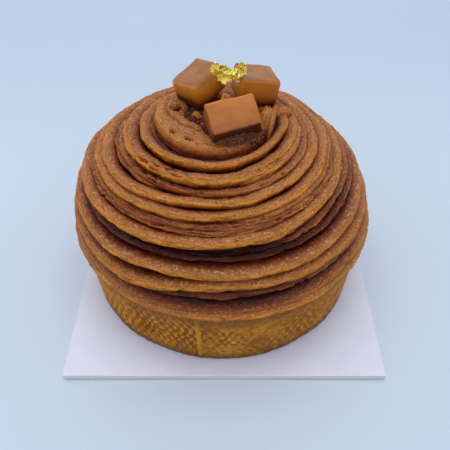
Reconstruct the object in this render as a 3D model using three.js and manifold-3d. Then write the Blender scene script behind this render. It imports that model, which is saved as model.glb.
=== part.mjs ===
// Mont blanc tart on its own square card. A straight-sided tart shell carries a
// dome of chestnut cream piped in one ribbed spiral, with three cubes of chestnut
// paste and a leaf of gold on top.
// Millimetres, +Z up, front towards -Y. The origin is under the middle of the card.
import * as THREE from 'three';
import * as BufferGeometryUtils from 'three/addons/utils/BufferGeometryUtils.js';
import { RoundedBoxGeometry } from 'three/addons/geometries/RoundedBoxGeometry.js';
import Module from 'manifold-3d';

const wasm = await Module();
wasm.setup();

const { Vector2, Vector3 } = THREE;

// Driving dimensions
const touch_gap = 0.3;

const card = { side: 81.4, thickness: 1.9, corner: 0.5 };

const tart = { x: -0.6, y: 1.2, facets: 60 };

const shell = {
  foot_radius: 37.3,
  rim_radius: 39.2,
  height: 20.6,
  edge_round: 1.2,
  seam_angle: -8.5,
  seam_width: 3.4,
  seam_height: 0.35,
};

const cream = {
  rows: 59,
  coil_pitch: 10.2,
  ribs_per_coil: 3,
  rib_depth: 1.0,
  coil_groove_depth: 1.7,
  coil_groove_width: 0.07,
  first_groove: 7.7,
  wander: 0.35,
  lean_x: -1.3,
  height: 27.6,
};

// Each cube: size, middle above the shell's foot, and turns about Z, X and Y.
const cubes = [
  { name: 'cube_left', size: [8.4, 10.6, 7.2], at: [-5.9, 12.2, 50.8], turn: [-39.5, 12.5, -7] },
  { name: 'cube_right', size: [10.0, 9.7, 6.6], at: [8.5, 11.4, 51.1], turn: [11.5, -1.5, 10.5] },
  { name: 'cube_front', size: [12.0, 8.2, 8.5], at: [2.4, -5.0, 50.5], turn: [21, 33, -7] },
];
const cube_round = 0.5;
const cube_segments = 1;

const leaf = {
  span: 9.4,
  height: 5.2,
  notch: 3.6,
  thickness: 0.3,
  crumple: 0.5,
  columns: 12,
  rows: 5,
  at: [1.6, 7.0, 53.9],
};

const colours = {
  card: 0xdcdde4,
  shell: 0x8a5a26,
  cream: 0x8a5432,
  cube: 0xa86d3b,
  leaf: 0xe0b040,
};

const shell_foot_z = card.thickness + touch_gap;
const cream_z = shell_foot_z + shell.height + touch_gap;

function closed_mesh_from(rings, bottom, top) {
  // A stack of equal rings, closed by a fan at each end.
  const steps = rings[0].length;
  const points = [...rings.flat(), bottom, top];
  const bottom_index = points.length - 2;
  const top_index = points.length - 1;
  const faces = [];
  for (let j = 0; j < steps; j += 1) {
    const k = (j + 1) % steps;
    faces.push(bottom_index, k, j);
    for (let i = 0; i + 1 < rings.length; i += 1) {
      const low = i * steps;
      const high = low + steps;
      faces.push(low + j, low + k, high + k);
      faces.push(low + j, high + k, high + j);
    }
    const last = (rings.length - 1) * steps;
    faces.push(last + j, last + k, top_index);
  }
  const geometry = new THREE.BufferGeometry().setFromPoints(points);
  geometry.setIndex(faces);
  return geometry;
}

function around(radius, angle, z) {
  // Angle 0 is the front and grows towards the right.
  return new Vector3(radius * Math.sin(angle), -radius * Math.cos(angle), z);
}

// Card: a flat square plate with small round corners
function card_geometry() {
  const half = card.side / 2;
  const round = card.corner;
  const outline = new THREE.Shape();
  outline.moveTo(-half + round, -half);
  outline.absarc(half - round, -half + round, round, -Math.PI / 2, 0);
  outline.absarc(half - round, half - round, round, 0, Math.PI / 2);
  outline.absarc(-half + round, half - round, round, Math.PI / 2, Math.PI);
  outline.absarc(-half + round, -half + round, round, Math.PI, 1.5 * Math.PI);
  const options = { depth: card.thickness, bevelEnabled: false, curveSegments: 5 };
  return new THREE.ExtrudeGeometry(outline, options);
}

// Tart shell: a baked band that widens upwards, with the seam where its ends meet
function shell_geometry() {
  const { foot_radius, rim_radius, height, edge_round } = shell;
  const seam_angle = THREE.MathUtils.degToRad(shell.seam_angle);
  const seam_half = shell.seam_width / 2 / foot_radius;
  const profile = [
    [foot_radius - edge_round, 0],
    [foot_radius - edge_round * 0.3, edge_round * 0.3],
    [foot_radius, edge_round],
    [(foot_radius + rim_radius) / 2, height / 2],
    [rim_radius, height - edge_round],
    [rim_radius - edge_round * 0.3, height - edge_round * 0.3],
    [rim_radius - edge_round, height],
  ];
  const step = (2 * Math.PI) / tart.facets;
  const angles = [];
  for (let j = 0; j < tart.facets; j += 1) {
    const angle = seam_angle + step * (j + 0.5);
    angles.push([angle, 0]);
  }
  angles.push([seam_angle - seam_half, 0]);
  angles.push([seam_angle - seam_half * 0.6, shell.seam_height]);
  angles.push([seam_angle + seam_half * 0.6, shell.seam_height]);
  angles.push([seam_angle + seam_half, 0]);
  const turn = 2 * Math.PI;
  const from_front = (angle) => (((angle - seam_angle + Math.PI) % turn) + turn) % turn;
  angles.sort((a, b) => from_front(a[0]) - from_front(b[0]));
  const rings = profile.map(([radius, z]) =>
    angles.map(([angle, lift]) => around(radius + lift, angle, z)));
  return closed_mesh_from(rings, new Vector3(0, 0, 0), new Vector3(0, 0, height));
}

// Cream: crest line of the dome, from its lower edge up and into the hollow on top
const cream_crest = new THREE.SplineCurve([
  new Vector2(40.1, 0.6),
  new Vector2(39.7, 4),
  new Vector2(38.7, 8),
  new Vector2(36.9, 13),
  new Vector2(33.6, 18),
  new Vector2(28, 22.5),
  new Vector2(21, 25.6),
  new Vector2(14.5, 27.3),
  new Vector2(9.5, 27.0),
  new Vector2(5, 24.6),
  new Vector2(1.5, 23.8),
]);

function cream_depth(along, angle) {
  // How far the surface lies under the crest line, in one spiral of ribbed coils.
  const wobble = Math.sin(2 * angle + 1.3) + 0.7 * Math.sin(3 * angle + 0.12 * along);
  const climbed = along - cream.first_groove + cream.wander * wobble;
  const coils = climbed / cream.coil_pitch - angle / (2 * Math.PI);
  const place = coils - Math.floor(coils);
  const rib = Math.sqrt(Math.abs(Math.sin(Math.PI * cream.ribs_per_coil * place)));
  const from_groove = Math.min(place, 1 - place) / cream.coil_groove_width;
  const groove = Math.exp(-from_groove * from_groove);
  return cream.rib_depth * (1 - rib) + cream.coil_groove_depth * groove;
}

function cream_geometry() {
  const length = cream_crest.getLength();
  const step = (2 * Math.PI) / tart.facets;
  const rings = [];
  const foot = [];
  for (let j = 0; j < tart.facets; j += 1) {
    foot.push(around(shell.rim_radius - 0.6, j * step, 0));
  }
  rings.push(foot);
  for (let i = 0; i < cream.rows; i += 1) {
    const u = i / (cream.rows - 1);
    const crest = cream_crest.getPointAt(u);
    const tangent = cream_crest.getTangentAt(u);
    const inward = new Vector2(-tangent.y, tangent.x);
    const fade = Math.min(1, i / 2) * Math.min(1, crest.x / 9);
    const ring = [];
    for (let j = 0; j < tart.facets; j += 1) {
      const angle = j * step;
      const depth = fade * cream_depth(u * length, angle);
      const radius = crest.x + inward.x * depth;
      const z = crest.y + inward.y * depth;
      const point = around(radius, angle, z);
      point.x += (cream.lean_x * z) / cream.height;
      ring.push(point);
    }
    rings.push(ring);
  }
  const top = new Vector3(cream.lean_x * 0.86, 0, cream_crest.getPointAt(1).y);
  return closed_mesh_from(rings, new Vector3(0, 0, 0), top);
}

// Cubes: soft-edged blocks of chestnut paste, each tipped its own way
function cube_geometry(size, grow) {
  const [width, depth, height] = size.map((value) => value + 2 * grow);
  return new RoundedBoxGeometry(width, depth, height, cube_segments, cube_round + grow);
}

function cube_placement(cube, base_z) {
  const [z, x, y] = cube.turn.map((angle) => THREE.MathUtils.degToRad(angle));
  const position = new Vector3(cube.at[0], cube.at[1], cube.at[2] + base_z);
  const rotation = new THREE.Euler(x, y, z, 'ZXY');
  return { position, rotation };
}

// Gold leaf: a thin crumpled piece folded into a V
function leaf_geometry() {
  const { span, height, notch, thickness, crumple, columns, rows } = leaf;
  const sides = [-thickness / 2, thickness / 2];
  const points = [];
  for (const side of sides) {
    for (let i = 0; i <= columns; i += 1) {
      const across = (2 * i) / columns - 1;
      for (let k = 0; k <= rows; k += 1) {
        const up = k / rows;
        const arm = Math.abs(across);
        const low_edge = notch * arm ** 1.3 + 0.3 * Math.sin(9 * across);
        const high_edge = low_edge + height * (0.62 - 0.25 * arm) + 0.35 * Math.sin(13 * across + 1);
        const fold = crumple * Math.sin(7 * across + 3 * up) * Math.cos(5 * up + 2 * across);
        const x = (span / 2) * across + 0.3 * crumple * Math.sin(8 * up);
        points.push(new Vector3(x, side + fold, low_edge + (high_edge - low_edge) * up));
      }
    }
  }
  const stride = rows + 1;
  const back = (columns + 1) * stride;
  const faces = [];
  const quad = (a, b, c, d) => faces.push(a, b, c, a, c, d);
  for (let i = 0; i < columns; i += 1) {
    for (let k = 0; k < rows; k += 1) {
      const corner = i * stride + k;
      quad(corner, corner + stride, corner + stride + 1, corner + 1);
      quad(back + corner, back + corner + 1, back + corner + stride + 1, back + corner + stride);
    }
    const low = i * stride;
    const high = low + rows;
    quad(low, back + low, back + low + stride, low + stride);
    quad(high, high + stride, back + high + stride, back + high);
  }
  for (let k = 0; k < rows; k += 1) {
    const right = columns * stride + k;
    quad(k, k + 1, back + k + 1, back + k);
    quad(right, back + right, back + right + 1, right + 1);
  }
  const geometry = new THREE.BufferGeometry().setFromPoints(points);
  geometry.setIndex(faces);
  return geometry;
}

function to_solid(geometry) {
  const plain = geometry.clone();
  plain.deleteAttribute('normal');
  plain.deleteAttribute('uv');
  const merged = BufferGeometryUtils.mergeVertices(plain, 1e-4);
  const vertProperties = new Float32Array(merged.attributes.position.array);
  const triVerts = new Uint32Array(merged.index.array);
  return new wasm.Manifold(new wasm.Mesh({ numProp: 3, vertProperties, triVerts }));
}

function to_geometry(solid) {
  const mesh = solid.getMesh();
  const geometry = new THREE.BufferGeometry();
  geometry.setAttribute('position', new THREE.BufferAttribute(mesh.vertProperties, 3));
  geometry.setIndex(new THREE.BufferAttribute(mesh.triVerts, 1));
  return geometry;
}

// The cream has a pocket where each cube is pressed into it.
function cream_with_pockets() {
  let solid = to_solid(cream_geometry());
  for (const cube of cubes) {
    const { position, rotation } = cube_placement(cube, -shell.height - touch_gap);
    const quaternion = new THREE.Quaternion().setFromEuler(rotation);
    const one = new Vector3(1, 1, 1);
    const matrix = new THREE.Matrix4().compose(position, quaternion, one);
    const pocket = cube_geometry(cube.size, touch_gap).applyMatrix4(matrix);
    solid = solid.subtract(to_solid(pocket));
  }
  return to_geometry(solid);
}

function add_mesh(parent, name, geometry, colour, roughness, metalness = 0) {
  geometry.computeVertexNormals();
  const material = new THREE.MeshStandardMaterial({ color: colour, roughness, metalness });
  const mesh = new THREE.Mesh(geometry, material);
  mesh.name = name;
  parent.add(mesh);
  return mesh;
}

const part = new THREE.Group();
add_mesh(part, 'card', card_geometry(), colours.card, 0.45);

const food = new THREE.Group();
food.position.set(tart.x, tart.y, 0);
part.add(food);

const shell_mesh = add_mesh(food, 'tart_shell', shell_geometry(), colours.shell, 0.7);
shell_mesh.position.z = shell_foot_z;

const cream_mesh = add_mesh(food, 'chestnut_cream', cream_with_pockets(), colours.cream, 0.5);
cream_mesh.position.z = cream_z;

for (const cube of cubes) {
  const mesh = add_mesh(food, cube.name, cube_geometry(cube.size, 0), colours.cube, 0.35);
  const { position, rotation } = cube_placement(cube, shell_foot_z);
  mesh.position.copy(position);
  mesh.rotation.copy(rotation);
}

const leaf_mesh = add_mesh(food, 'gold_leaf', leaf_geometry(), colours.leaf, 0.25, 1);
leaf_mesh.position.set(leaf.at[0], leaf.at[1], leaf.at[2] + shell_foot_z);

export default part;
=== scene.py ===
import math

import bpy
import numpy as np
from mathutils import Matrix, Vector, noise


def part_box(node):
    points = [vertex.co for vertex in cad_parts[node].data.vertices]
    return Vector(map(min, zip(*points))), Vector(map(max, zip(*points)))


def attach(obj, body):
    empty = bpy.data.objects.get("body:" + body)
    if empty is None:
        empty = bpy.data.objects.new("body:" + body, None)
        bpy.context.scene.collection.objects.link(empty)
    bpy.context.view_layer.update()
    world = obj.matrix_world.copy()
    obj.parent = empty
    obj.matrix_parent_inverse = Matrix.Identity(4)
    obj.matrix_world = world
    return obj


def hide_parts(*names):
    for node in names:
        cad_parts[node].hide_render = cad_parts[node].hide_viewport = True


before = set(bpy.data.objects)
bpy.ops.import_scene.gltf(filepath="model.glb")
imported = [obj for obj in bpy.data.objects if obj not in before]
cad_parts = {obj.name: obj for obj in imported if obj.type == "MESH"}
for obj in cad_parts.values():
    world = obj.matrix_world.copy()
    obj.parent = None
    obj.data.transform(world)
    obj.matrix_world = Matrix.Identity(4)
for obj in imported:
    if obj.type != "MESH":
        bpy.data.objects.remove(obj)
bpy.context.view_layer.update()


# --- Card -------------------------------------------------------------------
# The square of coated card that the tart is sold on: greyboard with a smooth
# white face glued on top, die cut with small round corners. It lies flat.

mm = 0.001
card_corner = 0.5 * mm
card_top_round = 0.1 * mm
card_low_round = 0.35 * mm
# The white face shows down the cut edge this far, and fades into the greyboard.
white_face = 0.35 * mm
white_fade = 0.15 * mm

card_low, card_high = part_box("card")
card_middle = (card_low + card_high) / 2
card_size = card_high - card_low
card_top = card_high.z


def select_none():
    bpy.ops.object.select_all(action="DESELECT")


def make_active(piece):
    select_none()
    piece.select_set(True)
    bpy.context.view_layer.objects.active = piece


def apply_modifiers(piece):
    make_active(piece)
    for name in [modifier.name for modifier in piece.modifiers]:
        bpy.ops.object.modifier_apply(modifier=name)


def select_edges(piece, wanted):
    # Edges are chosen by the place of their two ends.
    bpy.ops.mesh.select_all(action="DESELECT")
    bpy.ops.mesh.select_mode(type="EDGE")
    bpy.ops.object.mode_set(mode="OBJECT")
    points = piece.data.vertices
    for edge in piece.data.edges:
        a, b = (points[index].co for index in edge.vertices)
        edge.select = wanted(a, b)
    bpy.ops.object.mode_set(mode="EDIT")


select_none()
bpy.ops.mesh.primitive_cube_add(size=1, location=card_middle)
card = bpy.context.object
card.name = "card_sheet"
card.scale = card_size
bpy.ops.object.transform_apply(location=True, rotation=True, scale=True)
bpy.ops.object.mode_set(mode="EDIT")
select_edges(card, lambda a, b: abs(a.z - b.z) > card_size.z / 2)
bpy.ops.mesh.bevel(offset=card_corner, segments=5, affect="EDGES")
select_edges(card, lambda a, b: min(a.z, b.z) > card_middle.z)
bpy.ops.mesh.bevel(offset=card_top_round, segments=2, affect="EDGES")
select_edges(card, lambda a, b: max(a.z, b.z) < card_middle.z)
bpy.ops.mesh.bevel(offset=card_low_round, segments=4, affect="EDGES")
bpy.ops.object.mode_set(mode="OBJECT")
bpy.ops.object.shade_smooth_by_angle(angle=math.radians(35))


def new_material(name):
    material = bpy.data.materials.new(name)
    material.use_nodes = True
    nodes = material.node_tree.nodes
    return material, nodes, material.node_tree.links, nodes["Principled BSDF"]


def add_noise(nodes, links, vector, scale, detail=3.0, roughness=0.55):
    node = nodes.new("ShaderNodeTexNoise")
    node.inputs["Scale"].default_value = scale
    node.inputs["Detail"].default_value = detail
    node.inputs["Roughness"].default_value = roughness
    links.new(vector, node.inputs["Vector"])
    return node.outputs["Fac"]


def add_ramp(nodes, links, factor, stops):
    # stops: (position, colour) from low to high
    node = nodes.new("ShaderNodeValToRGB")
    ramp = node.color_ramp
    while len(ramp.elements) < len(stops):
        ramp.elements.new(0.5)
    for element, (position, colour) in zip(ramp.elements, stops):
        element.position = position
        element.color = (*colour, 1.0)
    links.new(factor, node.inputs["Fac"])
    return node.outputs["Color"]


def add_mix(nodes, links, factor, first, second, blend="MIX"):
    node = nodes.new("ShaderNodeMix")
    node.data_type = "RGBA"
    node.blend_type = blend
    for value, socket in ((factor, node.inputs[0]), (first, node.inputs[6]), (second, node.inputs[7])):
        if isinstance(value, (int, float)):
            socket.default_value = value
        elif isinstance(value, tuple):
            socket.default_value = (*value, 1.0)
        else:
            links.new(value, socket)
    return node.outputs[2]


def add_bump(nodes, links, shader, layers):
    # layers: (height, strength, distance in metres), one bump on the next
    normal = None
    for height, strength, distance in layers:
        node = nodes.new("ShaderNodeBump")
        node.inputs["Strength"].default_value = strength
        node.inputs["Distance"].default_value = distance
        links.new(height, node.inputs["Height"])
        if normal is not None:
            links.new(normal, node.inputs["Normal"])
        normal = node.outputs["Normal"]
    links.new(normal, shader.inputs["Normal"])


def add_range(nodes, links, value, low, high, new_low=0.0, new_high=1.0):
    # Eases from new_low to new_high as the value goes from low to high.
    node = nodes.new("ShaderNodeMapRange")
    node.interpolation_type = "SMOOTHSTEP"
    links.new(value, node.inputs["Value"])
    for name, number in (("From Min", low), ("From Max", high), ("To Min", new_low), ("To Max", new_high)):
        node.inputs[name].default_value = number
    return node.outputs["Result"]


def add_math(nodes, links, kind, first, second):
    node = nodes.new("ShaderNodeMath")
    node.operation = kind
    for value, socket in zip((first, second), node.inputs):
        if isinstance(value, (int, float)):
            socket.default_value = value
        else:
            links.new(value, socket)
    return node.outputs[0]


card_material, nodes, links, shader = new_material("coated_card")
place = nodes.new("ShaderNodeTexCoord").outputs["Object"]
height = nodes.new("ShaderNodeSeparateXYZ")
links.new(place, height.inputs[0])
core_top = card_top - white_face
above_core = add_range(nodes, links, height.outputs["Z"], core_top, core_top + white_fade)
mottle = add_noise(nodes, links, place, 220.0, 4.0)
face_colour = add_ramp(nodes, links, mottle, [(0.3, (0.77, 0.78, 0.92)), (0.7, (0.81, 0.82, 0.96))])
fibres = add_noise(nodes, links, place, 1800.0, 5.0)
core_colour = add_ramp(nodes, links, fibres, [(0.3, (0.68, 0.60, 0.54)), (0.7, (0.80, 0.71, 0.63))])
links.new(add_mix(nodes, links, above_core, core_colour, face_colour), shader.inputs["Base Color"])
shader.inputs["Roughness"].default_value = 0.42
shader.inputs["Specular IOR Level"].default_value = 0.45
tooth = add_noise(nodes, links, place, 2600.0, 2.0)
add_bump(nodes, links, shader, [(tooth, 0.06, 0.1 * mm)])
card.data.materials.append(card_material)

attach(card, "root")
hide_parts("card")


# --- Tart shell -------------------------------------------------------------
# A band of sweet dough baked inside a perforated ring, which leaves a grid of
# small bumps on its side and a seam where the two ends of the band meet. The
# bumps are clear in some places and worn away in others.

shell_low, shell_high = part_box("tart_shell")
tart_axis = Vector(((shell_low.x + shell_high.x) / 2, (shell_low.y + shell_high.y) / 2, 0))
shell_foot_radius = 37.3 * mm
shell_rim_radius = 39.2 * mm
shell_height = shell_high.z - card_top
shell_foot_round = 0.9 * mm
shell_columns = 900
shell_rows = 76
bump_pitch = 2.1 * mm
bump_row_pitch = 1.85 * mm
bump_height = 0.30 * mm
plain_foot = 0.6 * mm
crumb_height = 0.08 * mm
worn_crumb_height = 0.12 * mm
grain_height = 0.04 * mm
wall_waver = 0.25 * mm
seam_angle = math.radians(-8.5)
seam_width = 1.2 * mm
seam_height = 0.16 * mm
seam_gap_depth = 0.16 * mm

select_none()
bpy.ops.mesh.primitive_cylinder_add(
    vertices=shell_columns,
    radius=shell_foot_radius,
    depth=shell_height,
    end_fill_type="TRIFAN",
    location=(tart_axis.x, tart_axis.y, card_top + shell_height / 2),
)
shell = bpy.context.object
shell.name = "baked_shell"
bpy.ops.object.transform_apply(location=True, rotation=True, scale=True)
bpy.ops.object.mode_set(mode="EDIT")
select_edges(shell, lambda a, b: abs(a.z - b.z) > shell_height / 2)
bpy.ops.mesh.subdivide(number_cuts=shell_rows - 1)
bpy.ops.object.mode_set(mode="OBJECT")


def read_points(piece):
    points = np.empty(len(piece.data.vertices) * 3)
    piece.data.vertices.foreach_get("co", points)
    return points.reshape(-1, 3)


def write_points(piece, points):
    piece.data.vertices.foreach_set("co", points.ravel())
    piece.data.update()


def noise_at(points, size, seed):
    # Smooth noise between about -1 and 1, with bumps about `size` across.
    shift = Vector((seed * 7.31, seed * 3.17, seed * 5.71))
    return np.array([noise.noise(Vector(point) / size + shift) for point in points])


def keep_attribute(piece, name, values):
    layer = piece.data.attributes.new(name, "FLOAT", "POINT")
    layer.data.foreach_set("value", values.astype(np.float32))


points = read_points(shell)
across = points[:, 0] - tart_axis.x
along = points[:, 1] - tart_axis.y
radius = np.hypot(across, along)
angle = np.arctan2(across, -along)
up = points[:, 2] - card_top
on_side = radius > shell_foot_radius * 0.5
share = up / shell_height

# Unevenness of several sizes.
wide_noise = noise_at(points, 9 * mm, 1)
small_noise = noise_at(points, 1.1 * mm, 2)
tiny_noise = noise_at(points, 0.5 * mm, 3)
wander = noise_at(points, 6 * mm, 4)
jostle = noise_at(points, 2.4 * mm, 5)
shove = noise_at(points, 2.4 * mm, 6)

# The grid wanders, and no two bumps are quite in line.
bump_columns = round(2 * math.pi * shell_foot_radius / bump_pitch)
around_place = angle * bump_columns / (2 * math.pi) + 0.35 * wander + 0.36 * jostle
row_place = up / bump_row_pitch + 0.35 * wide_noise + 0.42 * shove
grid = np.cos(2 * math.pi * around_place) * np.cos(math.pi * row_place)
grid = 2 * (0.5 + 0.5 * grid) ** 1.7 - 1
# It is clear left of the seam, and worn right of it and on the far left.
past_seam = np.clip((angle - seam_angle) / 0.05, 0, 1)
rough_side = np.clip((np.sin(angle + 0.1) + 0.2) * 1.8 + 0.35 * past_seam, 0, 1)
fades = np.clip((share - 0.1) / 0.2, 0, 1) * np.clip((0.92 - share) / 0.25, 0, 1)
far_left = np.clip((-angle - 0.6) / 0.4, 0, 1) * np.clip((angle + 2.2) / 0.4, 0, 1)
grid_strength = np.clip(1.15 - 0.9 * rough_side - 0.85 * far_left + 0.9 * wide_noise, 0.12, 1.3)
grid_strength *= 0.35 + 0.65 * fades

seam_place = (angle - seam_angle) * shell_foot_radius / (seam_width / 2) + 0.2 * jostle
on_seam = np.clip((1.3 - np.abs(seam_place)) / 0.5, 0, 1)
beside_seam = np.exp(-((seam_place + 1.4) / 0.3) ** 2)

relief = bump_height * grid * grid_strength * (1 - on_seam)
relief += (crumb_height + worn_crumb_height * rough_side) * small_noise + grain_height * tiny_noise
relief += seam_height * on_seam - seam_gap_depth * beside_seam

side_radius = shell_foot_radius + (shell_rim_radius - shell_foot_radius) * share ** 1.15
foot = np.clip(1 - up / shell_foot_round, 0, 1)
side_radius -= shell_foot_round * (1 - np.sqrt(1 - foot ** 2)) * 0.9
new_radius = side_radius + relief * np.clip(up / plain_foot, 0, 1) + wall_waver * wide_noise
new_radius = np.where(on_side, new_radius, radius)
points[:, 0] = tart_axis.x + new_radius * np.sin(angle)
points[:, 1] = tart_axis.y - new_radius * np.cos(angle)
write_points(shell, points)
keep_attribute(shell, "relief", np.where(on_side, relief / bump_height, 0))
keep_attribute(shell, "rise", share)
make_active(shell)
bpy.ops.object.shade_smooth_by_angle(angle=math.radians(60))

shell_material, nodes, links, shader = new_material("baked_dough")
place = nodes.new("ShaderNodeTexCoord").outputs["Object"]


def add_attribute(nodes, name):
    node = nodes.new("ShaderNodeAttribute")
    node.attribute_name = name
    return node


relief_value = add_attribute(nodes, "relief").outputs["Fac"]
rise_value = add_attribute(nodes, "rise").outputs["Fac"]
patches = add_noise(nodes, links, place, 130.0, 4.0)
grain = add_noise(nodes, links, place, 1500.0, 4.0, 0.7)
crumbs = add_noise(nodes, links, place, 700.0, 2.0)
patch_colour = add_ramp(nodes, links, patches, [
    (0.32, (0.39, 0.130, 0.009)),
    (0.5, (0.54, 0.200, 0.011)),
    (0.68, (0.63, 0.265, 0.024)),
])
# Painted light on the relief: raised bumps are painted lighter and yellower as painted highlight, and the
# pits between them darker as painted shade.
on_bumps = add_range(nodes, links, relief_value, -0.9, 0.8)
bump_light_paint = add_mix(nodes, links, on_bumps, (0.54, 0.40, 0.30), (1.22, 1.36, 0.80))
colour = add_mix(nodes, links, 1.0, patch_colour, bump_light_paint, "MULTIPLY")
grain_colour = add_ramp(nodes, links, grain, [(0.3, (0.72, 0.68, 0.62)), (0.62, (1.1, 1.08, 1.05))])
colour = add_mix(nodes, links, 0.8, colour, grain_colour, "MULTIPLY")
dark_crumb = add_range(nodes, links, crumbs, 0.3, 0.36, 0.55, 0.0)
colour = add_mix(nodes, links, dark_crumb, colour, (0.09, 0.035, 0.01))
# The shell is darker towards its foot, and the rim is painted dark brown as painted shadow under the
# overhanging cream.
low_edge = add_range(nodes, links, rise_value, 0.0, 0.25, 0.82, 0.0)
colour = add_mix(nodes, links, low_edge, colour, (0.09, 0.034, 0.010))
cream_shadow_paint = add_range(nodes, links, rise_value, 0.62, 0.95, 0.0, 0.8)
colour = add_mix(nodes, links, cream_shadow_paint, colour, (0.17, 0.050, 0.008))
links.new(colour, shader.inputs["Base Color"])
shader.inputs["Roughness"].default_value = 0.62
shader.inputs["Specular IOR Level"].default_value = 0.2
shader.inputs["Subsurface Weight"].default_value = 0.15
shader.inputs["Subsurface Radius"].default_value = (1.0, 0.45, 0.15)
shader.inputs["Subsurface Scale"].default_value = 1.0 * mm
add_bump(nodes, links, shader, [(grain, 0.5, 0.12 * mm)])
shell.data.materials.append(shell_material)

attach(shell, "root")
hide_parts("tart_shell")


# --- Chestnut cream ---------------------------------------------------------
# Chestnut cream piped through a star nozzle in one rising spiral, so that each
# flute of the nozzle draws a rib. The last turn is laid off centre on the top.

# Crest line of the dome, from its foot to its top: distance from the axis and height above the card.
crest_points = np.array([
    (39.9, 18.0), (40.1, 20.9), (39.7, 24.6), (38.7, 28.6), (36.9, 33.6), (33.6, 38.6), (28.0, 43.1),
    (21.0, 46.2), (14.5, 47.9), (9.5, 48.2), (5.0, 48.2), (0.0, 48.2),
]) * mm
cream_foot = card_top + shell_height - 0.4 * mm
# The dome leans to the left, more and more from the height of the rim up to its top.
cream_lean = -1.3 * mm
lean_from = 20.6 * mm
lean_rise = 27.6 * mm
# Its hem hangs this far down over the rim.
cream_hem = -1.7 * mm
cream_columns = 324
# The side is cut into rows in two goes, because one cut makes at most 100.
cream_row_cuts = (2, 97)
# The deepest groove, in millimetres under the crest line.
groove_floor = 3.6
# Cream this little below its strand's crest gets no painted groove shade, in millimetres.
unshaded_depth = 0.08
# Strands that meet run together a little over this depth.
strand_blend = 0.06
# Each strand has a number, which sets its streaks apart from its neighbours'. They run on along it
# by this many millimetres to the radian.
strand_step = 9.1
rib_reach = 28
coil_reach = 13
floor_number = 30
coil_number = 31
shaded_heap_number = 40
# A half width so great that the strand has no painted lower-side glow or upper-side sheen.
no_sides = 99


def smooth_line(knots, values, wanted):
    # A curve through the points, with slopes taken from their neighbours.
    slopes = np.gradient(values, knots, axis=0)
    spot = np.clip(np.searchsorted(knots, wanted) - 1, 0, len(knots) - 2)
    width = knots[spot + 1] - knots[spot]
    t = ((wanted - knots[spot]) / width)[:, None]
    start, end = values[spot], values[spot + 1]
    start_slope, end_slope = slopes[spot] * width[:, None], slopes[spot + 1] * width[:, None]
    return (
        (2 * t**3 - 3 * t**2 + 1) * start + (t**3 - 2 * t**2 + t) * start_slope
        + (3 * t**2 - 2 * t**3) * end + (t**3 - t**2) * end_slope
    )


crest_nudge = 0.3 * mm
crest_steps = np.hypot(*np.diff(crest_points, axis=0).T)
crest_places = np.concatenate([[0], np.cumsum(crest_steps)]) - crest_steps[0]
cream_crown = crest_places[-1] - 0.15 * mm


def crest(place):
    # Point of the crest line `place` along it from the foot, and its outward normal.
    point = smooth_line(crest_places, crest_points, place)
    ahead = smooth_line(crest_places, crest_points, place + crest_nudge)
    behind = smooth_line(crest_places, crest_points, place - crest_nudge)
    tangent = ahead - behind
    tangent /= np.linalg.norm(tangent, axis=1)[:, None]
    normal = np.stack([tangent[:, 1], -tangent[:, 0]], axis=1)
    return point, normal


def dome_place(angle, place, depth):
    # Where a point lies: angle from the front to the right, way up the dome, depth under the crest.
    point, normal = crest(place)
    radius = point[:, 0] - normal[:, 0] * depth
    rise = point[:, 1] - normal[:, 1] * depth
    lean = cream_lean * (rise - lean_from) / lean_rise
    return np.stack([
        tart_axis.x + lean + radius * np.sin(angle),
        tart_axis.y - radius * np.cos(angle),
        card_top + rise,
    ], axis=1)


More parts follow.
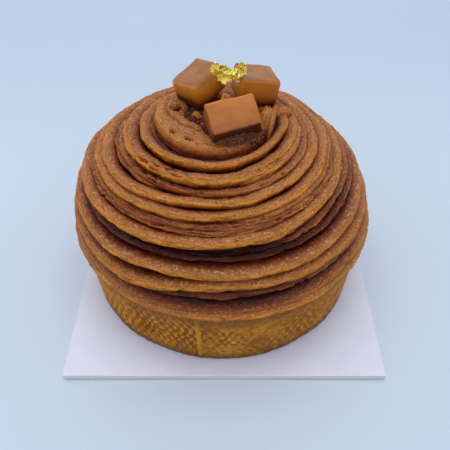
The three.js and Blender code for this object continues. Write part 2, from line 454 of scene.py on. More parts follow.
# Each rib: the turns that it makes, with its way up the dome at each angle from the front, and its
# half width and crest depth at each turn. It flows on round the back from one turn to the next.
# Here and below, angles are in degrees and lengths in millimetres.
ribs = {
    "hem": (
        [[(-205, 0.1), (-60, 0.1), (0, 0.2), (60, 0.1), (205, 0.1)]],
        [(-0.3, 1.2, -0.1), (0, 1.2, -0.25), (0.3, 1.2, -0.1)],
    ),
    "long": (
        [[(-200, 0.6), (-140, 1.4), (-90, 2.0), (-60, 1.9), (-30, 1.5), (-10, 1.4), (0, 1.4),
          (15, 1.4), (30, 1.7), (45, 2.2), (70, 3.0), (90, 3.8)],
         [(-90, 6.3), (-60, 6.0), (-45, 6.0), (-37, 5.8), (-30, 6.2), (-20, 7.1), (-10, 8.3),
          (0, 8.8), (15, 8.6), (30, 8.4), (45, 8.3), (60, 8.3), (90, 9.0)],
         [(-90, 11.4), (-60, 11.1), (-45, 10.6), (-30, 11.3), (-20, 11.7), (-10, 11.7), (0, 11.5),
          (15, 11.5), (30, 11.7), (45, 12.0), (60, 12.5), (90, 13.8)],
         [(-90, 18.0), (-60, 17.6), (-45, 17.8), (-30, 18.2), (-10, 18.8), (0, 19.0), (10, 19.3),
          (20, 19.5), (30, 20.1), (45, 21.1), (60, 22.0), (75, 23.0), (90, 23.7)],
         [(-90, 26.0), (-70, 26.1), (-50, 26.6), (-30, 27.5), (-10, 28.1), (0, 28.2), (15, 28.4),
          (30, 29.0), (45, 29.5), (60, 30.1), (90, 31.2)],
         [(-90, 32.5), (-60, 33.4), (-30, 33.9), (0, 34.1), (20, 34.5), (58, 35.2)]],
        [(-0.25, 1.6, 0.3), (-0.1, 1.9, 0.6), (0, 2.0, 0.7), (0.07, 1.9, 0.6), (0.15, 1.7, 0.3),
         (0.75, 1.6, 0.0), (0.86, 1.25, 0.0), (1.0, 1.3, -0.1), (1.25, 1.5, 0.0), (1.75, 1.5, 0.05),
         (1.88, 1.2, 0.0), (2.0, 1.2, -0.1), (2.12, 1.3, 0.0), (2.25, 1.65, 0.05), (2.75, 1.75, -0.1),
         (3.0, 1.55, -0.2), (3.25, 1.75, -0.1), (3.75, 1.65, 0.0), (4.0, 1.45, -0.1),
         (4.25, 1.65, 0.0), (4.75, 2.2, -0.1)],
    ),
    "first": (
        [[(-60, 3.8), (-34, 4.2), (-15, 5.0), (0, 5.7), (15, 5.8), (30, 5.9), (45, 6.1), (80, 6.4),
          (130, 7.0), (180, 7.9), (230, 8.7), (295, 8.8)]],
        [(0.0, 1.2, 1.25), (0.14, 1.3, 1.0), (0.3, 1.4, 0.7)],
    ),
    "dark": (
        [[(45, 10.8), (70, 11.1), (90, 11.6)],
         [(-90, 14.6), (-75, 14.5), (-60, 14.1), (-45, 14.0), (-30, 14.2), (-15, 14.5), (0, 14.5),
          (15, 14.5), (30, 14.8), (45, 15.3), (60, 16.1), (90, 17.4)],
         [(-90, 20.5), (-50, 20.7), (-30, 21.0), (0, 21.2), (20, 21.7), (45, 22.5)]],
        [(0.25, 1.3, 1.0), (0.75, 1.4, 0.9), (0.84, 1.3, 1.9), (0.92, 1.2, 2.4), (1.07, 1.2, 2.4),
         (1.15, 1.2, 1.5), (1.25, 1.2, 0.8), (1.75, 0.9, 0.8)],
    ),
    "under": (
        [[(12, 16.0), (30, 17.2), (45, 18.2), (60, 19.3), (75, 20.2), (90, 21.0)],
         [(-90, 23.7), (-60, 23.9), (-30, 24.5), (0, 24.9), (15, 25.2), (30, 25.8), (45, 26.4),
          (60, 27.0), (90, 28.0)],
         [(-90, 28.9), (-68, 29.3), (-50, 29.5), (-22, 29.8)]],
        [(0.05, 1.2, 1.3), (0.16, 1.3, 0.8), (0.25, 1.3, 0.5), (0.75, 1.5, 0.0), (1.25, 1.5, 0.0),
         (1.75, 0.9, 0.9)],
    ),
    "rough": (
        [[(-130, 21.4), (-75, 22.2), (-30, 22.3), (0, 22.6), (45, 23.3), (60, 23.8), (90, 25.2),
          (150, 26.3)]],
        [(0, 1.1, 0.5)],
    ),
    "split": (
        [[(0, 23.4), (25, 24.0), (45, 24.7), (60, 25.3), (90, 26.5), (180, 27.1), (230, 27.4)]],
        [(0, 1.0, 0.3)],
    ),
    "thin": (
        [[(-120, 30.1), (-75, 30.6), (-30, 30.8), (0, 30.6), (25, 31.4), (45, 31.9), (60, 32.4),
          (90, 33.1), (180, 34.3), (220, 34.6)]],
        [(0, 1.25, 0.45)],
    ),
    "upper": (
        [[(2, 34.8), (30, 35.5), (45, 36.0), (60, 36.2), (90, 35.9)],
         [(-90, 38.9), (-60, 39.4), (-40, 39.9), (-20, 40.5), (0, 40.8), (15, 41.0), (30, 41.2),
          (50, 41.4)]],
        [(0.25, 1.45, 0.0), (0.75, 0.95, 1.0), (0.9, 0.9, 2.4), (1.15, 0.9, 2.4)],
    ),
    "last": (
        [[(5, 33.2), (30, 33.6), (45, 34.1), (60, 34.6), (90, 35.2)],
         [(-90, 36.8), (-50, 37.6), (-20, 38.1), (0, 38.3), (15, 38.7), (30, 39.1), (45, 39.5),
          (60, 39.6), (75, 39.2), (95, 38.0), (150, 38.6)]],
        [(0.25, 1.3, 0.1), (0.75, 1.55, 0.0)],
    ),
}
# Each end of a rib sinks under its neighbours: over how many degrees, and how many millimetres.
end_length = 26.0
end_sink = 2.4

# The last turn is a broad band that winds about a middle of its own. At each angle from the front:
# the distances of its outer and inner edge from that middle, and its height above the card.
coil_middle = np.array([-2.0, 2.8])
coil = [
    (-230, 17.2, 8.6, 46.6), (-180, 17.4, 8.8, 46.8), (-140, 17.0, 8.6, 47.4), (-118, 16.0, 7.6, 47.9),
    (-97, 15.5, 7.2, 48.2), (-76, 15.1, 6.2, 48.4), (-52, 15.0, 5.0, 48.4), (-25, 15.4, 6.0, 48.3),
    (-5, 15.9, 8.4, 48.2), (15, 16.0, 9.8, 48.1), (30, 15.8, 11.0, 47.8), (50, 14.8, 11.4, 47.2),
    (78, 14.2, 11.0, 47.2), (100, 15.3, 11.5, 47.3), (130, 17.2, 8.6, 46.6),
]
coil_outmost = 20
# The hollow that it winds round: height above the card, and radius.
coil_floor = 46.2
coil_floor_radius = 14
# Over this distance from its outer edge, the band passes from a rib's painted lower-side glow to its
# upper-side sheen.
coil_light_edge = 2.2
# A soft crease runs along the band: angle and distance from the middle.
coil_crease = [(-130, 15.2), (-98, 12.0), (-76, 9.9), (-48, 8.4), (-20, 7.6)]

select_none()
bpy.ops.mesh.primitive_cylinder_add(
    vertices=cream_columns,
    radius=crest_points[1, 0],
    depth=cream_crown - cream_hem,
    end_fill_type="TRIFAN",
    location=(tart_axis.x, tart_axis.y, card_top + (cream_crown + cream_hem) / 2),
)
cream = bpy.context.object
cream.name = "piped_cream"
bpy.ops.object.transform_apply(location=True, rotation=True, scale=True)
bpy.ops.object.mode_set(mode="EDIT")
for cuts in cream_row_cuts:
    select_edges(cream, lambda a, b: abs(a.z - b.z) > 10 * mm)
    bpy.ops.mesh.subdivide(number_cuts=cuts)
bpy.ops.object.mode_set(mode="OBJECT")

points = read_points(cream)
on_side = np.hypot(points[:, 0] - tart_axis.x, points[:, 1] - tart_axis.y) > 1 * mm
angle = np.arctan2(points[:, 0] - tart_axis.x, tart_axis.y - points[:, 1])
degrees = np.degrees(angle)
place = np.where(on_side | (points[:, 2] < card_top), points[:, 2] - card_top, crest_places[-1])
ground = dome_place(angle, place, 0)
up_dome = place / mm
crest_height = (ground[:, 2] - card_top) / mm
plan = np.stack([ground[:, 0] - tart_axis.x, ground[:, 1] - tart_axis.y], axis=1) / mm

# What the highest strand at each point is: its depth, and the place along, across and which strand.
depth = np.full(len(points), groove_floor)
crowd = np.exp(-depth / strand_blend)
flow = np.stack([np.radians(degrees) * rib_reach, up_dome, np.zeros(len(points))], axis=1)
rough = np.ones(len(points))
side = np.zeros(len(points))
own_crest = np.zeros(len(points))


def waver(steps, seed):
    # A slow sway along a strand, between about -1 and 1.
    return np.array([noise.noise(Vector((step, seed * 7.7, 0.3))) for step in steps])


def rib_profile(offset, width, below, fullness):
    # Gentle on the upper side, full and then steep on the lower side.
    power = np.where(offset > 0, 0.8, 1.5) * fullness
    inside = np.clip(1 - np.abs(offset) ** power, 0, 1)
    beyond = np.clip(np.abs(offset) - 1, 0, None)
    return below + 1.5 * width * (1 - inside ** 0.62) + 4 * width * beyond


def lay(where, strand_depth, along, across, half, number, roughness, crest_depth=0.0):
    # Lays one strand over what is there already.
    crowd[where] += np.exp(-strand_depth / strand_blend)
    higher = strand_depth < depth[where]
    spots = np.flatnonzero(where)[higher]
    depth[spots] = strand_depth[higher]
    flow[spots] = np.stack([along, across, np.full(len(along), number * strand_step)], axis=1)[higher]
    rough[spots] = np.broadcast_to(roughness, along.shape)[higher]
    side[spots] = np.clip(across / half, -1, 1)[higher]
    own_crest[spots] = np.broadcast_to(crest_depth, along.shape)[higher]


for seed, (turns, shape) in enumerate(ribs.values(), 1):
    stops = np.array([
        (angle_stop + 360 * turn, place_stop)
        for turn, route in enumerate(turns) for angle_stop, place_stop in route
    ])
    shape = np.array(shape, float)
    whole = np.arange(stops[0, 0], stops[-1, 0] + 1, 1.5)
    middle = smooth_line(stops[:, 0], stops[:, 1:], whole)[:, 0]
    middle += 0.25 * waver(whole / 16, seed) + 0.12 * waver(whole / 4, seed + 20)
    width = np.interp(whole / 360, shape[:, 0], shape[:, 1])
    width *= 1 + 0.14 * waver(whole / 9, seed + 40) + 0.08 * waver(whole / 3, seed + 60)
    below = np.interp(whole / 360, shape[:, 0], shape[:, 2])
    roughness = np.clip(below / 0.7, 0, 1)
    below += 0.25 * waver(whole / 12, seed + 80)
    to_end = np.minimum(whole - whole[0], whole[-1] - whole)
    below += end_sink * np.clip(1 - to_end / end_length, 0, 1) ** 2
    for lap in range(-1, len(turns) + 1):
        spot = degrees + 360 * lap
        where = (spot > whole[0]) & (spot < whole[-1])
        spot = spot[where]
        half = np.interp(spot, whole, width)
        across = up_dome[where] - np.interp(spot, whole, middle)
        strand_depth = rib_profile(across / half, half, np.interp(spot, whole, below), 2.3)
        along = np.radians(spot) * rib_reach
        lay(where, strand_depth, along, across, half, seed, np.interp(spot, whole, roughness))

from_middle = plan - coil_middle
coil_turn = np.degrees(np.arctan2(from_middle[:, 0], -from_middle[:, 1]))
coil_distance = np.hypot(from_middle[:, 0], from_middle[:, 1])
lumps = noise_at(ground, 1.3 * mm, 5)
floor_bump = coil_floor + 0.9 * lumps
where = coil_distance < coil_floor_radius
floor_depth = (crest_height - floor_bump)[where]
lay(where, floor_depth, plan[where, 0], plan[where, 1], no_sides, floor_number, 1.0)
route = np.array(coil, float)
whole = np.arange(route[0, 0], route[-1, 0] + 1, 1.5)
form = smooth_line(route[:, 0], route[:, 1:], whole)
form[:, 0] += 0.25 * waver(whole / 14, 31) + 0.12 * waver(whole / 4, 51)
form[:, 1] += 0.5 * waver(whole / 10, 32) + 0.3 * waver(whole / 3, 52)
form[:, 2] += 0.25 * waver(whole / 12, 71)
for lap in (-1, 0):
    spot = coil_turn + 360 * lap
    where = (spot > whole[0]) & (spot <= whole[-1]) & (coil_distance < coil_outmost)
    spot = spot[where]
    outer, inner, height = (np.interp(spot, whole, form[:, row]) for row in range(3))
    half = (outer - inner) / 2
    outward = coil_distance[where] - (outer + inner) / 2
    strand_depth = rib_profile(-outward / half, 1.5, crest_height[where] - height, 4.0)
    from_edge = outer - coil_distance[where]
    along = np.radians(spot) * coil_reach
    lay(where, strand_depth, along, from_edge - coil_light_edge, coil_light_edge, coil_number, -0.5)
on_coil = np.rint(flow[:, 2] / strand_step) == coil_number
side[on_coil] = np.clip(side[on_coil], -0.15, 0.14)
crease_at = np.interp(coil_turn, *np.array(coil_crease, float).T, left=99, right=99)
coil_crease_depth = 1.1 * np.exp(-((coil_distance - crease_at + 0.4 * lumps) / 0.5) ** 2)


def mound(x, y, height, wide, deep, turn, fold, number, roughness=0.0):
    # A small heap on the top: middle, height above the card, half sizes, direction and folds.
    dx, dy = plan[:, 0] - x, plan[:, 1] - y
    c, s = math.cos(math.radians(turn)), math.sin(math.radians(turn))
    a, b = (dx * c + dy * s) / wide, (dy * c - dx * s) / deep
    where = np.hypot(a, b) < 1.6
    fall = (a ** 2 + b ** 2)[where] * (0.6 + 0.6 * min(wide, deep))
    spots = np.stack([a[where] * wide / 0.9, b[where] * deep / 2.2, a[where]], axis=1)
    creases = noise_at(spots, 1.0, number)
    top = crest_height[where] - height
    strand_depth = top + fall - fold * creases
    lay(where, strand_depth, b[where] * deep, a[where] * wide, wide, number, roughness, top + 0.5)


mound(3.6, -7.6, 50.4, 2.3, 5.8, 111, 1.0, shaded_heap_number, 1.0)
mound(11.0, 0.9, 50.0, 2.0, 4.8, -6, 1.1, 41)
mound(12.5, 0.8, 50.0, 0.6, 5.2, -10, 0.3, 42)
mound(15.1, 4.3, 49.0, 0.8, 1.8, 96, 0.3, 44)
mound(-6.5, 4.6, 47.6, 0.7, 1.4, 60, 0.4, 45)
mound(1.3, 3.2, 51.0, 2.2, 2.2, 0, 0.5, 46)
mound(1.3, 2.6, 54.0, 1.1, 1.0, 0, 0.4, 47)

depth = -strand_blend * np.log(crowd)
# Cream is never smooth: it is drawn out in streaks, grainy, and torn or pitted here and there.
streaks = noise_at(flow / np.array([5.0, 0.42, 1.0]), 1.0, 11)
fine_streaks = noise_at(flow / np.array([2.2, 0.24, 1.0]), 1.0, 12)
nicks = noise_at(flow / np.array([1.5, 0.7, 1.0]), 1.0, 13)
grains = noise_at(ground, 0.62 * mm, 14)
ridges = noise_at(flow / np.array([9.0, 0.8, 1.0]), 1.0, 17)
swells = noise_at(ground, 4.5 * mm, 15)
tears = noise_at(flow / np.array([2.6, 0.6, 1.0]), 1.0, 16)
depth += (0.22 + 0.3 * rough) * streaks + (0.17 + 0.08 * rough) * fine_streaks + 0.3 * ridges
depth += (0.08 + 0.07 * rough) * grains + 0.16 * swells
depth += (1.2 + 0.9 * rough) * np.clip(nicks - 0.33, 0, 0.4) + coil_crease_depth
# One rib on the left has torn open: middle of the tear, its reach each way, and its depth.
torn_angle = -46
torn_place = 33.5
torn_length = 34
torn_width = 3.6
torn_depth = 2.6
from_tear = np.hypot((degrees - torn_angle) / torn_length, (up_dome - torn_place) / torn_width)
depth += torn_depth * np.clip(1.3 - from_tear ** 2, 0, 1) * np.clip(tears - 0.08, 0, 0.45)

# Air pockets that burst as the cream left the nozzle: place on the top, radius and depth.
pockets = [
    (-11.9, 5.7, 1.45, 5.5), (-11.0, 7.0, 0.8, 3.5), (-12.0, -5.0, 0.7, 2.4), (-11.3, -5.6, 0.55, 1.8),
    (-8.0, -8.2, 0.7, 2.4), (-7.1, -8.7, 0.55, 1.8), (-13.6, 1.6, 0.4, 0.6), (-10.2, -2.4, 0.4, 0.5),
    (-5.6, -10.4, 0.4, 0.5), (-9.4, -5.6, 0.4, 0.5), (-14.9, 5.0, 0.4, 0.6), (-6.4, -5.9, 0.4, 0.5),
]
for x, y, radius, drop in pockets:
    reach = np.hypot(plan[:, 0] - x, plan[:, 1] - y) / radius + 0.35 * lumps
    depth += drop * np.clip(1.1 - reach ** 3, 0, 1)

# Under the front cube and between the cubes, the cream is painted dark as painted shade, with painted glints
# and a glossier finish: middle, half sizes and direction.
puddles = [
    (4.2, -9.2, 5.6, 2.3, 21),
    (7.8, -5.5, 3.0, 4.5, 0),
    (-2.0, 2.5, 2.6, 3.0, 0),
    (4.0, 7.5, 5.0, 2.5, 0),
]
wet_and_shade = np.zeros(len(points))
for x, y, wide, deep, turn in puddles:
    dx, dy = plan[:, 0] - x, plan[:, 1] - y
    c, s = math.cos(math.radians(turn)), math.sin(math.radians(turn))
    wet_and_shade = np.maximum(wet_and_shade, np.exp(-(((dx * c + dy * s) / wide) ** 4 + ((dy * c - dx * s) / deep) ** 4)))

# The same painted shade, glints and gloss also lie in the deep groove round the last turn.
ring_groove = np.clip((up_dome - 38.5) / 1.5, 0, 1) * np.clip((depth - 1.1) / 0.7, 0, 1)
wet_and_shade = np.maximum(wet_and_shade, 0.95 * ring_groove * ~on_coil)

# The lowest strands at the front and the rough strands left of it are painted darker, as painted shade.
strand = np.rint(flow[:, 2] / strand_step)
on_rib = {name: strand == number for number, name in enumerate(ribs, 1)}
low_strand = on_rib["hem"] | (on_rib["long"] & (up_dome < 3.8))
painted_shade = (0.6 * low_strand + 0.5 * on_rib["first"]) * np.exp(-((degrees + 6) / 38) ** 4)
painted_shade += (0.75 * on_rib["rough"] + 1.0 * on_rib["thin"]) * np.exp(-((degrees + 25) / 45) ** 4)

# The heaps, all but the first, get none of that painted shade and glints, and only half the painted light
# across a rib, so they are more evenly coloured.
on_heap = strand > shaded_heap_number
wet_and_shade[on_heap] = 0
side[on_heap] *= 0.5
# Rough strands take more of the duller upper-side colour, and low on the dome more of each rib takes the
# painted golden glow and less painted sparkle.
side += 0.35 * np.clip(rough, 0, 1)
side -= 0.3 * np.clip((34 - up_dome) / 14, 0, 1) + 0.25 * np.clip((13 - up_dome) / 4, 0, 1)

# The lowest groove is shallow, for the cream rests on the rim there. Above it each groove is
# undercut, so that a rib hangs a little over the one below.
over_rim = np.exp(-((up_dome - 0.6) / 1.3) ** 4)
depth -= 0.8 * over_rim * np.clip(depth - 0.4, 0, None)
hem_free = np.clip((up_dome - cream_hem / mm) / 0.6, 0, 1)
undercut = 0.3 * hem_free * np.clip((43 - up_dome) / 5, 0, 1)
depth = groove_floor + (depth - groove_floor) * hem_free
points = dome_place(angle, place + undercut * depth * mm, depth * mm)
inside_rim = np.hypot(points[:, 0] - tart_axis.x, points[:, 1] - tart_axis.y) < shell_rim_radius - 0.4 * mm
points[:, 2] = np.where(inside_rim, np.maximum(points[:, 2], cream_foot), points[:, 2])
lowest = ~on_side & (place < crest_places[-1])
points[lowest] = (tart_axis.x, tart_axis.y, cream_foot)
write_points(cream, points)
make_active(cream)
bpy.ops.object.mode_set(mode="EDIT")
bpy.ops.mesh.select_all(action="SELECT")
bpy.ops.mesh.quads_convert_to_tris(quad_method="SHORTEST_DIAGONAL")
bpy.ops.object.mode_set(mode="OBJECT")
bpy.ops.object.shade_smooth()
keep_attribute(cream, "sunk", depth - own_crest + painted_shade - unshaded_depth)
keep_attribute(cream, "rough", rough)
keep_attribute(cream, "side", side)
keep_attribute(cream, "wet_and_shade", wet_and_shade)
layer = cream.data.attributes.new("flow", "FLOAT_VECTOR", "POINT")
layer.data.foreach_set("vector", (flow * mm).astype(np.float32).ravel())

cream_material, nodes, links, shader = new_material("chestnut_cream")
place = nodes.new("ShaderNodeTexCoord").outputs["Object"]
flow_value = add_attribute(nodes, "flow").outputs["Vector"]
sunk_value = add_attribute(nodes, "sunk").outputs["Fac"]
rough_value = add_attribute(nodes, "rough").outputs["Fac"]
side_value = add_attribute(nodes, "side").outputs["Fac"]
squeeze = nodes.new("ShaderNodeMapping")
squeeze.inputs["Scale"].default_value = (0.18, 1.0, 1.0)
links.new(flow_value, squeeze.inputs["Vector"])
streaks = add_noise(nodes, links, squeeze.outputs["Vector"], 2000.0, 3.0)
cloud = add_noise(nodes, links, place, 160.0, 3.0)
grain = add_noise(nodes, links, place, 2300.0, 2.0, 0.6)
flecks = add_noise(nodes, links, place, 1300.0, 1.0)

# Painted light across each rib: a golden glow painted on its lower side, and a duller, cooler colour painted
# on its upper side as painted sheen.
uneven_side = add_math(nodes, links, "MULTIPLY_ADD", streaks, 0.9)
links.new(side_value, uneven_side.node.inputs[2])
colour = add_ramp(nodes, links, add_range(nodes, links, uneven_side, -0.65, 1.45), [
    (0.0, (0.42, 0.125, 0.005)),
    (0.2, (0.66, 0.245, 0.016)),
    (0.45, (0.52, 0.190, 0.028)),
    (0.7, (0.42, 0.152, 0.040)),
    (1.0, (0.32, 0.112, 0.036)),
])
# Painted shade: the deeper the cream lies under its strand's crest, the darker it is painted.
uneven_depth = add_math(nodes, links, "MULTIPLY_ADD", streaks, 0.9)
links.new(sunk_value, uneven_depth.node.inputs[2])
groove_shade_colour = add_ramp(nodes, links, add_range(nodes, links, uneven_depth, 0.4, 3.3), [
    (0.0, (1.0, 1.0, 1.0)),
    (0.3, (0.82, 0.66, 0.50)),
    (0.6, (0.50, 0.25, 0.12)),
    (1.0, (0.13, 0.03, 0.012)),
])
# Painted shade under the cubes and in the groove round the last turn.
wet_and_shade_value = add_attribute(nodes, "wet_and_shade").outputs["Fac"]
groove_shade_colour = add_mix(nodes, links, wet_and_shade_value, groove_shade_colour, (0.32, 0.155, 0.10))
colour = add_mix(nodes, links, 1.0, colour, groove_shade_colour, "MULTIPLY")
# Recessed strands are painted darker and more purple, as painted shade.
recess_shade_colour = add_mix(nodes, links, 1.0, colour, (0.76, 0.68, 0.74), "MULTIPLY")
colour = add_mix(nodes, links, rough_value, colour, recess_shade_colour)
cloud_colour = add_ramp(nodes, links, cloud, [(0.3, (0.86, 0.83, 0.80)), (0.7, (1.09, 1.08, 1.06))])
colour = add_mix(nodes, links, 1.0, colour, cloud_colour, "MULTIPLY")
streak_colour = add_ramp(nodes, links, streaks, [(0.36, (0.72, 0.64, 0.56)), (0.6, (1.10, 1.10, 1.10))])
colour = add_mix(nodes, links, 0.8, colour, streak_colour, "MULTIPLY")
grain_colour = add_ramp(nodes, links, grain, [(0.36, (0.70, 0.66, 0.62)), (0.6, (1.14, 1.14, 1.14))])
colour = add_mix(nodes, links, 0.8, colour, grain_colour, "MULTIPLY")
# Fine pale grains are painted sparkle, strongest on the upper side of each rib.
stretch = nodes.new("ShaderNodeMapping")
stretch.inputs["Scale"].default_value = (0.4, 1.0, 1.0)
links.new(flow_value, stretch.inputs["Vector"])
drawn_grain = add_noise(nodes, links, stretch.outputs["Vector"], 4200.0, 2.0, 0.6)
painted_sparkle = add_range(nodes, links, drawn_grain, 0.5, 0.68)
painted_sparkle_share = add_range(nodes, links, uneven_side, -0.3, 0.9, 0.1, 0.46)
painted_sparkle_colour = add_mix(nodes, links, 1.0, (0.85, 0.50, 0.30), groove_shade_colour, "MULTIPLY")
colour = add_mix(nodes, links, add_math(nodes, links, "MULTIPLY", painted_sparkle, painted_sparkle_share), colour, painted_sparkle_colour)
fleck = add_range(nodes, links, flecks, 0.27, 0.31, 0.7, 0.0)
colour = add_mix(nodes, links, fleck, colour, (0.07, 0.025, 0.008))
# Painted glints in that painted shade.
glint = add_range(nodes, links, drawn_grain, 0.55, 0.68, 0.0, 0.7)
glint = add_math(nodes, links, "MULTIPLY", glint, wet_and_shade_value)
colour = add_mix(nodes, links, glint, colour, (0.42, 0.28, 0.21))
links.new(colour, shader.inputs["Base Color"])
dullness = add_range(nodes, links, grain, 0.4, 0.62, 0.42, 0.24)
dullness = add_math(nodes, links, "SUBTRACT", dullness, wet_and_shade_value)
links.new(add_range(nodes, links, dullness, -0.6, 0.5, 0.12, 0.45), shader.inputs["Roughness"])
shader.inputs["Specular IOR Level"].default_value = 0.24
add_bump(nodes, links, shader, [(streaks, 0.8, 0.35 * mm), (grain, 0.8, 0.25 * mm)])
cream.data.materials.append(cream_material)

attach(cream, "root")
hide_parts("chestnut_cream")


# --- Chestnut cubes ---------------------------------------------------------
# Three cubes cut from a slab of firm chestnut paste and pressed into the top.
# The paste lets light in; besides that, the cut sides are painted amber and brighter near the top as painted
# glow, under tops painted pinker as painted sheen.

paste_material, nodes, links, shader = new_material("chestnut_paste")
place = nodes.new("ShaderNodeTexCoord").outputs["Object"]
cloud = add_noise(nodes, links, place, 300.0, 3.0)
grain = add_noise(nodes, links, place, 2600.0, 3.0, 0.7)
specks = add_noise(nodes, links, place, 700.0, 1.0)
rise = add_attribute(nodes, "rise").outputs["Fac"]
facing_up = add_attribute(nodes, "facing_up").outputs["Fac"]
# Painted glow: the cut sides are painted from dark red-brown where no glow reaches to bright amber near the
# top.
side_colour = add_ramp(nodes, links, rise, [
    (0.0, (0.11, 0.020, 0.001)),
    (0.15, (0.42, 0.115, 0.005)),
    (0.45, (0.66, 0.225, 0.012)),
    (0.85, (0.72, 0.300, 0.040)),
    (1.0, (0.64, 0.290, 0.072)),
])
# The tops are painted a pinker, duller colour, as painted sheen.
top_sheen_colour = add_ramp(nodes, links, cloud, [(0.3, (0.37, 0.142, 0.042)), (0.7, (0.42, 0.175, 0.060))])
colour = add_mix(nodes, links, facing_up, side_colour, top_sheen_colour)
cloud_colour = add_ramp(nodes, links, cloud, [(0.35, (0.88, 0.86, 0.84)), (0.65, (1.06, 1.08, 1.12))])
colour = add_mix(nodes, links, 1.0, colour, cloud_colour, "MULTIPLY")
grain_colour = add_ramp(nodes, links, grain, [(0.35, (0.88, 0.86, 0.84)), (0.65, (1.06, 1.06, 1.06))])
colour = add_mix(nodes, links, 0.7, colour, grain_colour, "MULTIPLY")
speck = add_math(nodes, links, "MULTIPLY", facing_up, add_range(nodes, links, specks, 0.2, 0.24, 0.8, 0.0))
colour = add_mix(nodes, links, speck, colour, (0.10, 0.04, 0.015))
links.new(colour, shader.inputs["Base Color"])
shader.inputs["Roughness"].default_value = 0.42
shader.inputs["Specular IOR Level"].default_value = 0.35
shader.inputs["Subsurface Weight"].default_value = 0.6
shader.inputs["Subsurface Radius"].default_value = (1.0, 0.38, 0.08)
shader.inputs["Subsurface Scale"].default_value = 1.8 * mm
add_bump(nodes, links, shader, [(cloud, 0.15, 0.3 * mm), (grain, 0.25, 0.06 * mm)])

cube_mesh_size = 0.22 * mm
cube_sway = 0.35 * mm
cube_unevenness = 0.06 * mm
# The painted glow reaches from a cube's top down to this depth, and fades over this distance.
glow_depth = 7.5 * mm
glow_fade = 6.5 * mm
# Each cube: how much its edges are worn round, how much painted sheen its top takes, how strong its painted
# glow is, and how much painted shade its sides take.
cube_finish = {
    "cube_left": (16, 1.0, 1.3, 0.0),
    "cube_right": (12, 1.0, 0.55, 0.0),
    "cube_front": (3, 0.15, 0.36, 1.0),
}
for number, (node_name, finish) in enumerate(cube_finish.items()):
    cube_easing, cube_top_sheen, cube_glow_paint, cube_shade_paint = finish
    select_none()
    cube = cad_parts[node_name].copy()
    cube.data = cube.data.copy()
    cube.parent = None
    cube.name = "paste_" + node_name
    for key in [key for key in cube.keys() if key.startswith("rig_")]:
        del cube[key]
    bpy.context.scene.collection.objects.link(cube)
    make_active(cube)
    bpy.ops.object.mode_set(mode="EDIT")
    bpy.ops.mesh.select_all(action="SELECT")
    bpy.ops.mesh.remove_doubles(threshold=0.01 * mm)
    bpy.ops.mesh.normals_make_consistent(inside=False)
    bpy.ops.object.mode_set(mode="OBJECT")
    fine = cube.modifiers.new("fine", "REMESH")
    fine.mode = "VOXEL"
    fine.voxel_size = cube_mesh_size
    ease = cube.modifiers.new("ease", "SMOOTH")
    ease.factor = 0.5
    ease.iterations = cube_easing
    apply_modifiers(cube)
    points = read_points(cube)
    normals = np.empty(len(cube.data.vertices) * 3)
    cube.data.vertices.foreach_get("normal", normals)
    swell = cube_sway * noise_at(points, 5 * mm, 21 + number)
    swell += cube_unevenness * noise_at(points, 1.5 * mm, 31 + number)
    points += normals.reshape(-1, 3) * swell[:, None]
    write_points(cube, points)
    make_active(cube)
    bpy.ops.object.shade_smooth()
    cube.data.vertices.foreach_get("normal", normals)
    facing = normals.reshape(-1, 3)
    facing_up = np.clip((facing[:, 2] - 0.35) / 0.4, 0, 1)
    # Painted shade on the sides, most on those that face the front.
    facing_front = np.clip(0.5 - 0.4 * np.abs(facing[:, 0]) - facing[:, 1], 0.3, 1)
    painted_shade = cube_shade_paint * (1 - facing_up) * facing_front
    # Painted glow from the top down, less the painted shade on the sides.
    down = points[:, 2].max() - points[:, 2]
    glow = np.clip((glow_depth - down) / glow_fade, 0, 1) * cube_glow_paint
    keep_attribute(cube, "rise", glow * (1 - painted_shade))
    keep_attribute(cube, "facing_up", facing_up * cube_top_sheen)
    cube.data.materials.clear()
    cube.data.materials.append(paste_material)
    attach(cube, "root")
    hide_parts(node_name)


# --- Gold leaf --------------------------------------------------------------
# A torn scrap of beaten gold, picked up with tweezers and set between the two
# back cubes, where it crumples into a V.

leaf_low, leaf_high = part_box("gold_leaf")
leaf_middle = (leaf_low + leaf_high) / 2
leaf_span = leaf_high.x - leaf_low.x
leaf_rise = leaf_high.z - leaf_low.z
leaf_columns = 84
leaf_rows = 48
leaf_thickness = 0.06 * mm
# The scrap before it crumples, in millimetres: half its width, and its height.
scrap_half_width = 4.5
scrap_height = 3.2

select_none()
bpy.ops.mesh.primitive_grid_add(x_subdivisions=leaf_columns, y_subdivisions=leaf_rows, size=2)
leaf = bpy.context.object
leaf.name = "crumpled_leaf"
points = read_points(leaf)
side = points[:, 0].copy()
up = (points[:, 1] + 1) / 2
sheet = np.stack([side * scrap_half_width, up * scrap_height, np.zeros(len(side))], axis=1)
ragged = noise_at(sheet, 1.1, 41)
ragged_fine = noise_at(sheet, 0.4, 42)
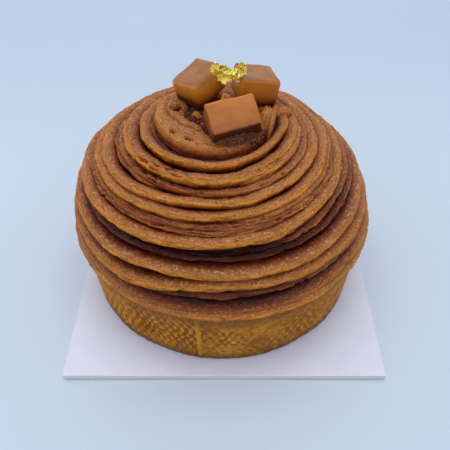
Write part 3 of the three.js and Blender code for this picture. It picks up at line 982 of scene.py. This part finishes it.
# The V: how high its lower and upper edge stand across the scrap, as shares of its height.
stations = [-1, -0.73, -0.38, 0, 0.25, 0.52, 0.79, 1]
low_edge = np.interp(side, stations, [0.5, 0.2, 0, 0.05, 0.1, 0.0, 0.2, 0.4])
top_edge = np.interp(side, stations, [0.8, 0.95, 0.9, 0.8, 0.62, 0.9, 1, 0.8])
low_edge += 0.10 * ragged + 0.06 * ragged_fine
tall = top_edge - low_edge + 0.12 * noise_at(sheet, 0.9, 43)
crease = np.abs(noise_at(sheet, 0.9, 44)) + 0.5 * np.abs(noise_at(sheet, 0.45, 45))
slant = noise_at(sheet, 1.6, 46)
pleats = noise_at(sheet * np.array([0.6, 1.8, 1.0]), 0.9, 47)
points[:, 0] = leaf_middle.x + side * leaf_span / 2 * 0.94 + 0.35 * mm * crease
points[:, 1] = leaf_middle.y + (1.3 * crease - 0.8 + 0.9 * slant + 0.9 * pleats) * mm * 0.8
points[:, 2] = leaf_low.z + leaf_rise * np.clip(low_edge + tall * up, 0, 0.98)
write_points(leaf, points)

# Its rim is torn, so faces near the edge are taken away here and there.
bpy.ops.object.mode_set(mode="EDIT")
bpy.ops.mesh.select_all(action="DESELECT")
bpy.ops.mesh.select_mode(type="FACE")
bpy.ops.object.mode_set(mode="OBJECT")
for face in leaf.data.polygons:
    spot = sheet[list(face.vertices)].mean(axis=0)
    rim = min(spot[1], scrap_height - spot[1], scrap_half_width - abs(spot[0]))
    face.select = rim < 0.25 + 0.45 * noise.noise(Vector(spot) * 1.7 + Vector((9, 2, 4)))
bpy.ops.object.mode_set(mode="EDIT")
bpy.ops.mesh.delete(type="FACE")
bpy.ops.object.mode_set(mode="OBJECT")
thick = leaf.modifiers.new("thick", "SOLIDIFY")
thick.thickness = leaf_thickness
thick.offset = 0
apply_modifiers(leaf)

gold_material, nodes, links, shader = new_material("beaten_gold")
place = nodes.new("ShaderNodeTexCoord").outputs["Object"]
tarnish = add_noise(nodes, links, place, 900.0, 3.0)
colour = add_ramp(nodes, links, tarnish, [(0.35, (1.0, 0.74, 0.07)), (0.6, (1.0, 0.94, 0.36))])
links.new(colour, shader.inputs["Base Color"])
shader.inputs["Metallic"].default_value = 1.0
shader.inputs["Roughness"].default_value = 0.24
wrinkles = add_noise(nodes, links, place, 1000.0, 3.0, 0.6)
add_bump(nodes, links, shader, [(wrinkles, 0.45, 0.15 * mm)])
leaf.data.materials.append(gold_material)

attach(leaf, "root")
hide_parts("gold_leaf")


# --- Floor, light and camera ------------------------------------------------
# A pale blue-white table under a large soft light from above, a weaker one
# from a window behind it and a faint one from the left. The camera is close in
# front and looks down on the tart.

table_size = 6
light_aim = Vector((0, 0, 30 * mm))
view_down = math.radians(43.63)
camera_place = (0.2 * mm, -112.3 * mm, card_top + 120.5 * mm)

select_none()
bpy.ops.mesh.primitive_plane_add(size=table_size, location=(0, 0, 0))
floor = bpy.context.object
floor.name = "floor"
floor_material, nodes, links, shader = new_material("pale_table")
place = nodes.new("ShaderNodeTexCoord").outputs["Object"]
distance = nodes.new("ShaderNodeSeparateXYZ")
links.new(place, distance.inputs[0])
# Painted shade: the table is painted darker from just behind the tart towards the back.
far_off = add_range(nodes, links, distance.outputs["Y"], 0.02, 0.16)
links.new(add_mix(nodes, links, far_off, (0.63, 0.73, 0.85), (0.55, 0.65, 0.78)), shader.inputs["Base Color"])
shader.inputs["Roughness"].default_value = 0.6
shader.inputs["Specular IOR Level"].default_value = 0.1
floor.data.materials.append(floor_material)

world = bpy.data.worlds.new("soft_room")
bpy.context.scene.world = world
world.use_nodes = True
background = world.node_tree.nodes["Background"]
background.inputs["Color"].default_value = (0.86, 0.92, 1.0, 1)
background.inputs["Strength"].default_value = 0.72


def soft_light(name, place, size, watts, colour):
    data = bpy.data.lights.new(name, "AREA")
    data.shape = "SQUARE"
    data.size = size
    data.energy = watts
    data.color = colour
    lamp = bpy.data.objects.new(name, data)
    lamp.location = place
    aim = light_aim - Vector(place)
    lamp.rotation_euler = aim.to_track_quat("-Z", "Y").to_euler()
    bpy.context.scene.collection.objects.link(lamp)


soft_light("overhead", (-0.01, 0.03, 0.90), 0.70, 2.5, (1.0, 0.98, 0.96))
soft_light("window", (-0.03, 0.46, 0.56), 0.22, 0.32, (1.0, 0.97, 0.94))
soft_light("left_side", (-0.45, -0.18, 0.35), 0.35, 0.14, (1.0, 0.97, 0.95))

camera_data = bpy.data.cameras.new("camera")
camera_data.sensor_width = 36
camera_data.lens = 43.04
camera = bpy.data.objects.new("camera", camera_data)
camera.location = camera_place
camera.rotation_euler = (math.radians(90) - view_down, 0, 0)
bpy.context.scene.collection.objects.link(camera)
bpy.context.scene.camera = camera
bpy.context.scene.view_settings.view_transform = "Standard"
